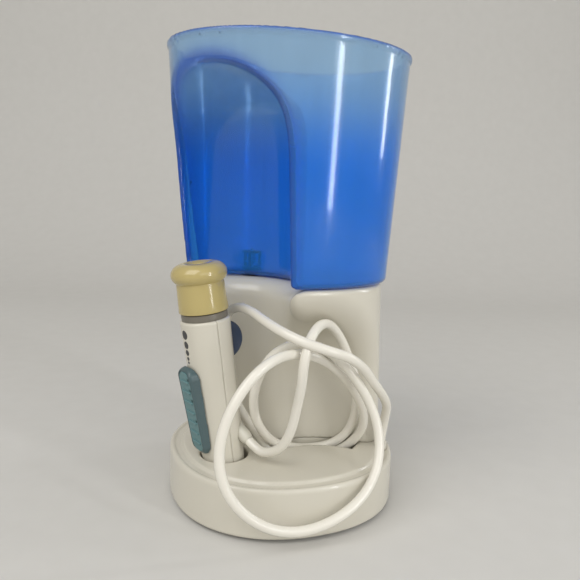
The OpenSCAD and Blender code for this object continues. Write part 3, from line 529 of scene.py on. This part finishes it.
# %% Base shell
rim_inset = [0.0, 0.15, 0.45, 0.9, 1.5, 2.2, 2.9, 6.3, 6.6, 6.9, 7.6]
rim_height = [24.3, 25.1, 25.75, 26.15, 26.3, 26.2, 25.5, 25.5, 25.9, 26.85, 27.0]
socket_centre, socket_radius, socket_floor = (-34.1, -10.0), 12.2, 12.0
trench_low, trench_high, trench_floor = 37.5, 47.8, 12.5
trench_from, trench_to = math.radians(44), math.radians(114)
gland_centre, gland_seat_radius, gland_hole_radius = (48.8, -25.0), 3.05, 2.65
base_half_x, base_half_y, base_power, base_wall = 59.0, 58.5, 2.2, 2.4
screw_ring, boss_radius, switch_turn = 50, 3.4, math.radians(60)


def trench_space(x, y, z, grow):
    dx, dy = x - niche_centre[0], y - niche_centre[1]
    reach = np.hypot(dx, dy)
    first = math.sin(trench_from) * dx - math.cos(trench_from) * dy
    last = math.cos(trench_to) * dy - math.sin(trench_to) * dx
    ends = np.maximum(first, last) - grow
    return np.maximum(np.maximum(np.maximum(reach - trench_high - grow, trench_low - grow - reach), ends),
                      trench_floor - grow - z)


def base_skin(x, y, z):
    wall = oval_side(x, y, base_half_x, base_half_y, base_power)
    outside = np.maximum(z - np.interp(-wall, rim_inset, rim_height), wall)
    outside = fillet(outside, 2.0 - z, 0.8)
    room = np.minimum(np.maximum(wall + base_wall, z - 22.5), np.maximum(wall + 8.8, z - 24.6))
    cup = np.maximum(drum(x, y, socket_centre, socket_radius + 1.8), socket_floor - 1.8 - z)
    room = np.maximum(np.maximum(room, -cup), -trench_space(x, y, z, 2.0))
    for turn in (math.radians(45 + 90 * k) for k in range(4)):
        centre = screw_ring * math.cos(turn), screw_ring * math.sin(turn)
        room = np.maximum(room, -np.maximum(drum(x, y, centre, boss_radius), 4.8 - z))
    shell = np.maximum(outside, -room)
    under_column = np.maximum(column_outside(x, y, 40 + 0 * z) + 3.9, 23.0 - z)
    shell = np.maximum(shell, -under_column)
    shell = fillet(shell, -trench_space(x, y, z, 0.0), 0.7)
    shell = fillet(shell, -np.maximum(drum(x, y, socket_centre, socket_radius), socket_floor - z), 0.7)
    seat = np.minimum(np.maximum(drum(x, y, gland_centre, gland_seat_radius), 25.5 - z),
                      drum(x, y, gland_centre, gland_hole_radius))
    shell = np.maximum(shell, -np.maximum(seat, 10.0 - z))
    shell = np.maximum(shell, -np.maximum(np.hypot(x, z - 13.0) - 5.0, 50.5 - y))
    out = x * math.cos(switch_turn) + y * math.sin(switch_turn)
    across = y * math.cos(switch_turn) - x * math.sin(switch_turn)
    window = np.maximum(np.maximum(np.abs(across) - 6.5, np.abs(z - 14.0) - 7.5), 47.0 - out)
    return np.maximum(shell, -window)


base_housing = net_piece("base_housing", base_skin, (-61, -60.5, 0.5), (61, 60.5, 29), 0.9, housing_finish)
dress(base_housing, "root", "housing_plastic", "base_shell")

# %% [markdown]
# ## Handle
# The handle leans back 8 degrees in its socket and is turned a little. Its pieces are worked out in the
# handle's own upright frame, where the body is a plain taper, and one matrix then puts every piece in its
# place. The body is two half shells that meet in a seam on each side; the shoulder under the collar is
# rounded.

# %% The handle's own frame
handle_lean, handle_turn = math.radians(8.2), math.radians(15)
handle_place = (Matrix.Translation((-0.0349, -0.0100, 0.0270)) @ Matrix.Rotation(-handle_lean, 4, "Y")
                @ Matrix.Rotation(handle_turn, 4, "Z"))
body_low, body_top, low_radius, top_radius, shell_wall = -13.5, 72.0, 10.4, 12.4, 1.8


def seat_on(piece, place):
    """Puts a piece made upright at the origin in its place, in its mesh."""
    piece.data.transform(place)
    piece.data.update()
    return piece


def body_side(x, y, z):
    return np.hypot(x, y) - (low_radius + (top_radius - low_radius) * (z - body_low) / (body_top - body_low))


def body_outside(x, y, z):
    return fillet(fillet(body_side(x, y, z), z - body_top, 1.3), body_low - z, 1.0)


def box_space(x, y, z, low, high):
    space = np.maximum(low[0] - x, x - high[0])
    for value, lo, hi in ((y, low[1], high[1]), (z, low[2], high[2])):
        space = np.maximum(space, np.maximum(lo - value, value - hi))
    return space


relief_root, relief_tip = Vector((-29.3, -11.3, 42.0)) * MM, Vector((-24.1, -19.9, 36.3)) * MM
relief_in_handle = [v / MM for v in (handle_place.inverted() @ relief_root)]
relief_aim = (handle_place.to_3x3().inverted() @ (relief_tip - relief_root)).normalized()


def relief_hole(x, y, z):
    across = [x - relief_in_handle[0], y - relief_in_handle[1], z - relief_in_handle[2]]
    along = sum(c * relief_aim[n] for n, c in enumerate(across))
    off = [c - along * relief_aim[n] for n, c in enumerate(across)]
    return np.maximum(np.sqrt(off[0] ** 2 + off[1] ** 2 + off[2] ** 2) - 3.4, -3 - along)


def half_shell(x, y, z, side):
    outside = body_outside(x, y, z)
    wall = np.maximum(outside, -(outside + shell_wall))
    wall = fillet(wall, 0.05 + side * x, 0.3)
    wall = np.maximum(wall, -np.maximum(np.hypot(x, y) - 8.1, body_top - 4 - z))
    if side > 0:
        return np.maximum(wall, -box_space(x, y, z, (-20, -2.4, 22), (-5, 2.4, 38)))
    wall = fillet(wall, -box_space(x, y, z, (5, -5.9, 49.6), (17, 5.9, 69.4)), 0.3)
    for screw in (-4, 43):
        wall = np.maximum(wall, -np.maximum(np.hypot(y, z - screw) - 1.5, 5 - x))
    return np.maximum(wall, -relief_hole(x, y, z))


for name, side, node in (("handle_front", 1, "handle_front_shell"), ("handle_rear", -1, "handle_rear_shell")):
    low, high = ((-13.4, 1) if side > 0 else (-1, 13.4))
    shell = net_piece(name, lambda x, y, z: half_shell(x, y, z, side), (low, -13.4, -14.6),
                      (high, 13.4, 73.2), 0.55, housing_finish)
    dress(seat_on(shell, handle_place), "handle", "housing_plastic", node)

# %% [markdown]
# ## Turned pieces
# The tip knob, the collar, the strain relief and the gland are round, so each is a closed profile turned
# about its axis. A profile is a list of radius and height; arcs are written as short curves so that the
# gloss runs smoothly.

# %% Turn a profile
def turned_piece(name, profile, place, material, segments=96, sharp=38):
    mesh, work = bpy.data.meshes.new(name), bmesh.new()
    rings = [[work.verts.new((r * MM * math.cos(t), r * MM * math.sin(t), z * MM))
              for t in (2 * math.pi * k / segments for k in range(segments))] for r, z in profile]
    for a, b in zip(rings, rings[1:] + rings[:1]):
        for k in range(segments):
            work.faces.new((a[k], a[(k + 1) % segments], b[(k + 1) % segments], b[k]))
    bmesh.ops.recalc_face_normals(work, faces=work.faces)
    work.to_mesh(mesh)
    work.free()
    mesh.materials.append(material)
    mesh.shade_smooth()
    mesh.set_sharp_from_angle(angle=math.radians(sharp))
    return seat_on(place_piece(name, mesh), place)


def bend(centre, radii, start, end, steps):
    angles = [math.radians(start + (end - start) * k / steps) for k in range(steps + 1)]
    return [(centre[0] + radii[0] * math.cos(t), centre[1] + radii[1] * math.sin(t)) for t in angles]


def aimed(root, tip):
    return Matrix.Translation(root) @ (tip - root).to_track_quat("Z", "Y").to_matrix().to_4x4()


print("profile tools ready")

# %% Knob, collar, strain relief and gland
knob_profile = ([(8.5, 0.0), (11.8, 0.0)] + bend((11.8, 0.4), (0.4, 0.4), -80, 0, 4) + [(12.05, 4), (11.9, 8),
                (11.78, 11)] + [(11.7, 13.4)] + bend((7.7, 18.4), (6.0, 5.3), -50, 90, 30)
                + [(6.2, 23.65), (4.8, 23.0), (3.2, 22.75), (2.9, 22.4), (2.9, 16.5), (9.3, 16.0), (9.3, 1.2),
                   (8.5, 1.2)])
knob_start = 75.8
tip_knob = turned_piece("cream_tip_knob", knob_profile,
                        handle_place @ Matrix.Translation((0, 0, knob_start * MM)), cream_finish, 128, 50)
dress(tip_knob, "knob", "cream_plastic", "tip_knob")
collar_profile = ([(6.55, -2.2), (8.05, -2.2), (8.05, 0.0), (11.0, 0.0)]
                  + bend((11.0, 0.4), (0.4, 0.4), -90, 0, 4)
                  + bend((11.0, 3.0), (0.4, 0.4), 0, 90, 4) + [(6.55, 3.4)])
collar = turned_piece("grey_collar", collar_profile, handle_place @ Matrix.Translation((0, 0, body_top * MM)),
                      grey_finish)
dress(collar, "handle", "grey_plastic", "handle_collar")
relief_length = (relief_tip - relief_root).length / MM
relief_profile = ([(1.4, 0.0), (3.36, 0.0)] + [(3.36, relief_length - 4)]
                  + bend((2.4, relief_length - 4), (0.93, 3.6), 8, 60, 5)
                  + [(2.6, relief_length), (1.4, relief_length)])
relief = turned_piece("hose_relief", relief_profile, aimed(relief_root, relief_tip), relief_finish, 48)
dress(relief, "handle", "white_plastic", "strain_relief")
gland_profile = ([(1.4, 14), (1.8, 14), (2.4, 17), (2.6, 17), (2.6, 25.6), (2.95, 25.6)]
                 + bend((2.65, 29.7), (0.3, 0.3), 0, 90, 4) + [(1.4, 30)])
gland_place = Matrix.Translation((gland_centre[0] * MM, gland_centre[1] * MM, 0))
gland = turned_piece("base_gland", gland_profile, gland_place, relief_finish, 48)
dress(gland, "root", "white_plastic", "hose_gland")

# %% [markdown]
# ## Pressure slider
# The slider is a long rounded rocker that travels along the front of the handle. Its grip face leans out at
# the top, its ends roll over in a wide radius, and a light ribbed pad is let into it. The body of it comes
# from a formula again, because the rolled ends, the flank roundings and the hollow back that fits the
# handle meet in one skin.

# %% Slider body
slider_low, slider_high, slider_width = 3.4, 50.5, 14.0
slider_middle, slider_length = (slider_low + slider_high) / 2, slider_high - slider_low
grip_offset, grip_tilt = 14.5, math.radians(3.7)
face_place = (handle_place @ Matrix.Translation((-grip_offset * MM, 0, slider_middle * MM))
              @ Matrix.Rotation(-grip_tilt, 4, "Y"))


def rounded_plate(u, v, length, width, radius):
    a, b = np.abs(u) - length / 2 + radius, np.abs(v) - width / 2 + radius
    return np.hypot(np.maximum(a, 0), np.maximum(b, 0)) + np.minimum(np.maximum(a, b), 0) - radius


def slider_skin(x, y, z):
    dx, dz = x + grip_offset, z - slider_middle
    depth = dx * math.cos(grip_tilt) + dz * math.sin(grip_tilt)
    along = dz * math.cos(grip_tilt) - dx * math.sin(grip_tilt)
    body = rounded_plate(along, depth - 8, slider_length, 16, 4.5)
    body = fillet(body, rounded_plate(z - slider_middle, y, slider_length, slider_width, 6.4), 1.6)
    body = np.maximum(np.maximum(body, x + 6), -(body_side(x, y, z) - 0.65))
    recess = np.maximum(rounded_plate(along, y, slider_length - 3.4, 11, 5), depth - 0.8)
    body = fillet(body, -recess, 0.2)
    return np.minimum(body, box_space(x, y, z, (-13.2, -1.9, 25.5), (-6.2, 1.9, 29.5)))


slider = net_piece("pressure_slider_body", slider_skin, (-18, -7.8, 2.2), (-5, 7.8, 51.6), 0.42,
                   slider_finish)
dress(seat_on(slider, handle_place), "slider", "teal_dark", "pressure_slider")

# %% [markdown]
# ## Ribbed pad
# The pad in the slider has seven cross ribs, each with a small drain hole beside its end. Ribs and holes
# repeat at one pitch, so a Geometry Nodes tree places them: a line of points carries the ribs, a second
# line carries the plugs that are cut out of the plate.

# %% Plate, rib and hole plug
def outline_points(length, width, radius, steps=8):
    points = []
    for sign_y, sign_z, start in ((1, 1, 0), (-1, 1, 90), (-1, -1, 180), (1, -1, 270)):
        for k in range(steps + 1):
            t = math.radians(start + 90 * k / steps)
            points.append((sign_y * (width / 2 - radius) + radius * math.cos(t),
                           sign_z * (length / 2 - radius) + radius * math.sin(t)))
    return points


def stacked_piece(name, layers, material):
    """Layers of (outline, height); outlines in Y and Z, the height along X."""
    mesh, work = bpy.data.meshes.new(name), bmesh.new()
    rings = [[work.verts.new((x * MM, y * MM, z * MM)) for y, z in outline] for outline, x in layers]
    for a, b in zip(rings, rings[1:]):
        for k in range(len(a)):
            work.faces.new((a[k], a[(k + 1) % len(a)], b[(k + 1) % len(a)], b[k]))
    work.faces.new(rings[0])
    work.faces.new(rings[-1])
    bmesh.ops.recalc_face_normals(work, faces=work.faces)
    work.to_mesh(mesh)
    work.free()
    mesh.materials.append(material)
    return place_piece(name, mesh)


pad_length, pad_width = slider_length - 3.5, 10.9
pad = stacked_piece("ribbed_pad", [(outline_points(pad_length - 1.6, pad_width, 4.6), 0.75),
                                   (outline_points(pad_length - 1.6, pad_width, 4.6), 0.35),
                                   (outline_points(pad_length - 1.9, pad_width - 0.3, 4.5), 0.2)], pad_finish)
rib_foot, hole_outline = outline_points(1.3, 8.2, 0.6, 3), outline_points(1.4, 1.4, 0.7, 4)
rib = stacked_piece("pad_rib", [(rib_foot, 0.4), (rib_foot, -0.1), (outline_points(1.05, 7.9, 0.5, 3), -0.38),
                                (outline_points(0.6, 7.4, 0.28, 3), -0.5)], pad_finish)
plug = stacked_piece("pad_hole_plug", [(hole_outline, 1.2), (hole_outline, -0.6)], pad_finish)
print("plate, rib and plug:", len(pad.data.polygons), len(rib.data.polygons), len(plug.data.polygons))

# %% The tree that sets the ribs and cuts the holes
def build_rib_tree():
    tree = bpy.data.node_groups.new("ribs_and_holes", "GeometryNodeTree")
    sockets = {}
    inputs = (("Geometry", "NodeSocketGeometry"), ("Rib", "NodeSocketObject"), ("Plug", "NodeSocketObject"),
              ("Count", "NodeSocketInt"), ("Pitch", "NodeSocketFloat"), ("Hole side", "NodeSocketFloat"),
              ("Hole shift", "NodeSocketFloat"), ("Finish", "NodeSocketMaterial"))
    for name, kind in inputs:
        sockets[name] = tree.interface.new_socket(name, in_out="INPUT", socket_type=kind).identifier
    tree.interface.new_socket("Geometry", in_out="OUTPUT", socket_type="NodeSocketGeometry")
    given, made = tree.nodes.new("NodeGroupInput"), tree.nodes.new("NodeGroupOutput")

    def row(item, side, shift):
        start = tree.nodes.new("ShaderNodeCombineXYZ")
        half = math_node(tree, "MULTIPLY", math_node(tree, "SUBTRACT", given.outputs["Count"], 1), -0.5)
        first = math_node(tree, "MULTIPLY", half, given.outputs["Pitch"])
        tree.links.new(math_node(tree, "ADD", first, shift), start.inputs["Z"])
        tree.links.new(math_node(tree, "ADD", side, 0.0), start.inputs["Y"])
        step = tree.nodes.new("ShaderNodeCombineXYZ")
        tree.links.new(given.outputs["Pitch"], step.inputs["Z"])
        line = tree.nodes.new("GeometryNodeMeshLine")
        line.mode = "OFFSET"
        tree.links.new(given.outputs["Count"], line.inputs["Count"])
        tree.links.new(start.outputs[0], line.inputs["Start Location"])
        tree.links.new(step.outputs[0], line.inputs["Offset"])
        source = tree.nodes.new("GeometryNodeObjectInfo")
        tree.links.new(given.outputs[item], source.inputs["Object"])
        on_points = tree.nodes.new("GeometryNodeInstanceOnPoints")
        tree.links.new(line.outputs["Mesh"], on_points.inputs["Points"])
        tree.links.new(source.outputs["Geometry"], on_points.inputs["Instance"])
        realize = tree.nodes.new("GeometryNodeRealizeInstances")
        tree.links.new(on_points.outputs["Instances"], realize.inputs["Geometry"])
        return realize.outputs["Geometry"]

    cut = tree.nodes.new("GeometryNodeMeshBoolean")
    cut.operation = "DIFFERENCE"
    tree.links.new(given.outputs["Geometry"], cut.inputs["Mesh 1"])
    tree.links.new(row("Plug", given.outputs["Hole side"], given.outputs["Hole shift"]), cut.inputs["Mesh 2"])
    join = tree.nodes.new("GeometryNodeJoinGeometry")
    tree.links.new(row("Rib", 0.0, 0.0), join.inputs["Geometry"])
    tree.links.new(cut.outputs["Mesh"], join.inputs["Geometry"])
    realize = tree.nodes.new("GeometryNodeRealizeInstances")
    colour = tree.nodes.new("GeometryNodeSetMaterial")
    tree.links.new(join.outputs[0], realize.inputs[0])
    tree.links.new(realize.outputs[0], colour.inputs["Geometry"])
    tree.links.new(given.outputs["Finish"], colour.inputs["Material"])
    tree.links.new(colour.outputs[0], made.inputs[0])
    return tree, sockets


def bake_tree(piece, tree, sockets, values):
    modifier = piece.modifiers.new("pattern", "NODES")
    modifier.node_group = tree
    for name, value in values.items():
        modifier[sockets[name]] = value
    graph = bpy.context.evaluated_depsgraph_get()
    mesh = bpy.data.meshes.new_from_object(piece.evaluated_get(graph))
    piece.modifiers.remove(modifier)
    piece.data = mesh
    return piece


rib_tree, rib_sockets = build_rib_tree()
bake_tree(pad, rib_tree, rib_sockets, {"Rib": rib, "Plug": plug, "Count": 7, "Pitch": 5.4 * MM,
                                       "Hole side": -4.4 * MM, "Hole shift": 1.6 * MM, "Finish": pad_finish})
for helper in (rib, plug):
    bpy.data.objects.remove(helper)
dress(seat_on(pad, face_place), "slider", "teal_light", "slider_pad")

# %% [markdown]
# ## Level dots
# Five grey dots of growing size show the pressure level. They are pad-printed ink on a round body, so each
# dot is a thin disc whose points are wrapped onto the taper of the handle, with its edge brought down onto
# the plastic.

# %% Dots wrapped on the body
dot_rows = ((66.0, 2.3), (60.9, 1.9), (57.0, 1.5), (54.0, 1.0), (52.0, 0.7))
dots_turn = math.radians(183)
mesh, work = bpy.data.meshes.new("level_dots_ink"), bmesh.new()
for height, radius in dot_rows:
    rings = []
    for share, proud in ((0.35, 0.12), (0.7, 0.12), (0.94, 0.11), (1.0, 0.01), (0.98, -0.2), (0.5, -0.2)):
        ring = []
        for k in range(32):
            t = 2 * math.pi * k / 32
            s = height + radius * share * math.sin(t)
            body = low_radius + (top_radius - low_radius) * (s - body_low) / (body_top - body_low)
            turn = dots_turn + radius * share * math.cos(t) / body
            reach = body + proud
            ring.append(work.verts.new(Vector((reach * math.cos(turn), reach * math.sin(turn), s)) * MM))
        rings.append(ring)
    work.faces.new(rings[0])
    work.faces.new(rings[-1])
    for a, b in zip(rings, rings[1:]):
        for k in range(32):
            work.faces.new((a[k], a[(k + 1) % 32], b[(k + 1) % 32], b[k]))
bmesh.ops.recalc_face_normals(work, faces=work.faces)
work.to_mesh(mesh)
work.free()
mesh.materials.append(dot_finish)
level_dots = seat_on(place_piece("level_dots_ink", mesh), handle_place)
dress(level_dots, "handle", "grey_plastic", "level_dots")

# %% [markdown]
# ## Eject button
# The half-moon button on the back of the handle releases the jet tip. It is a slice of a drum with rounded
# flanks, on a flat flange that keeps it in its window.

# %% Half-moon button
def button_skin(x, y, z):
    moon = fillet(np.hypot(x - 7.1, z) - 10.0, np.abs(y) - 5.5, 1.4)
    moon = np.maximum(moon, 10.6 - x)
    return np.minimum(moon, box_space(x, y, z, (8.6, -5.2, -7.5), (10.8, 5.2, 6.7)))


button = net_piece("eject_half_moon", button_skin, (8, -6.2, -10.6), (17.8, 6.2, 10.6), 0.36, navy_finish)
button_height = 59.5
seat_on(button, handle_place @ Matrix.Translation((0, 0, button_height * MM)))
dress(button, "eject", "navy_plastic", "eject_button")

# %% [markdown]
# ## Parts that keep their CAD shape
# Screws, springs, gears, the pump, the motor, the board, the feet and the switch are right as they are.
# Their meshes stay untouched; only the material in their slot is exchanged for the finish of that slot.

# %% Finishes on the remaining nodes
slot_of = {part["node"]: part["material_slot"] for part in frame["record"]["subparts"]}
for name, node in frame["nodes"].items():
    material = slot_finish.get(slot_of.get(name), tank_finish)
    if not node.material_slots:
        node.data.materials.append(material)
    for place in node.material_slots:
        place.material = material
print("nodes dressed:", len(frame["nodes"]))

# %% [markdown]
# ## Studio
# A pale cove runs from the table up behind the object without an edge, so the eye finds no horizon. The
# light is soft: a large panel from the upper left, a fainter one in front, and two narrow strips on the
# right that draw the long highlights down the tank, the column and the knob.

# %% Cove
def build_cove_finish():
    material = bpy.data.materials.new("studio_paper")
    material.use_nodes = True
    tree = material.node_tree
    shader = tree.nodes["Principled BSDF"]
    place, grain = tree.nodes.new("ShaderNodeTexCoord"), tree.nodes.new("ShaderNodeTexNoise")
    grain.inputs["Scale"].default_value = 60
    tone = tree.nodes.new("ShaderNodeValToRGB")
    tone.color_ramp.elements[0].color = (0.60, 0.59, 0.565, 1)
    tone.color_ramp.elements[1].color = (0.635, 0.625, 0.60, 1)
    tree.links.new(place.outputs["Object"], grain.inputs["Vector"])
    tree.links.new(grain.outputs["Fac"], tone.inputs["Fac"])
    tree.links.new(tone.outputs["Color"], shader.inputs["Base Color"])
    shader.inputs["Roughness"].default_value = 0.8
    return material


cove_depth, cove_radius, cove_height, cove_half = 1.1, 0.5, 2.2, 3.0
path = [(-2.2, 0.0), (cove_depth - cove_radius, 0.0)]
path += [(cove_depth - cove_radius + cove_radius * math.sin(t), cove_radius * (1 - math.cos(t)))
         for t in (math.pi / 2 * k / 16 for k in range(1, 17))] + [(cove_depth, cove_height)]
view_turn = Matrix.Rotation(math.radians(-20), 4, "Z")
mesh, work = bpy.data.meshes.new("studio_cove"), bmesh.new()
rows = [[work.verts.new(view_turn @ Vector((side, y, z))) for side in (-cove_half, cove_half)]
        for y, z in path]
for a, b in zip(rows, rows[1:]):
    work.faces.new((a[0], a[1], b[1], b[0]))
work.to_mesh(mesh)
work.free()
mesh.shade_smooth()
mesh.materials.append(build_cove_finish())
studio_cove = place_piece("studio_cove", mesh)
print("cove of", len(path), "rows")

# %% Lights
def panel(name, place, aim, size, watts, colour=(1, 1, 1)):
    data = bpy.data.lights.new(name, "AREA")
    data.shape, data.size, data.size_y, data.energy, data.color = "RECTANGLE", size[0], size[1], watts, colour
    lamp = bpy.data.objects.new(name, data)
    bpy.context.scene.collection.objects.link(lamp)
    turn = (Vector(aim) - Vector(place)).to_track_quat("-Z", "Y")
    lamp.matrix_world = Matrix.Translation(place) @ turn.to_matrix().to_4x4()
    return lamp


panel("key_panel", (-0.85, -0.55, 1.15), (0, 0, 0.10), (1.1, 1.1), 11, (1, 0.985, 0.96))
panel("front_panel", (0.1, -1.5, 0.75), (0, 0, 0.10), (1.0, 0.7), 3)
panel("strip_right", (1.10, -0.22, 0.42), (0, 0, 0.18), (0.08, 0.5), 1.6)
panel("strip_front", (0.57, -0.98, 0.32), (0, 0, 0.15), (0.07, 0.9), 3.6)
world = bpy.data.worlds.new("studio_air")
bpy.context.scene.world = world
world.use_nodes = True
world.node_tree.nodes["Background"].inputs["Color"].default_value = (1.0, 0.985, 0.95, 1)
world.node_tree.nodes["Background"].inputs["Strength"].default_value = 0.5
bpy.context.scene.view_settings.view_transform = "Standard"
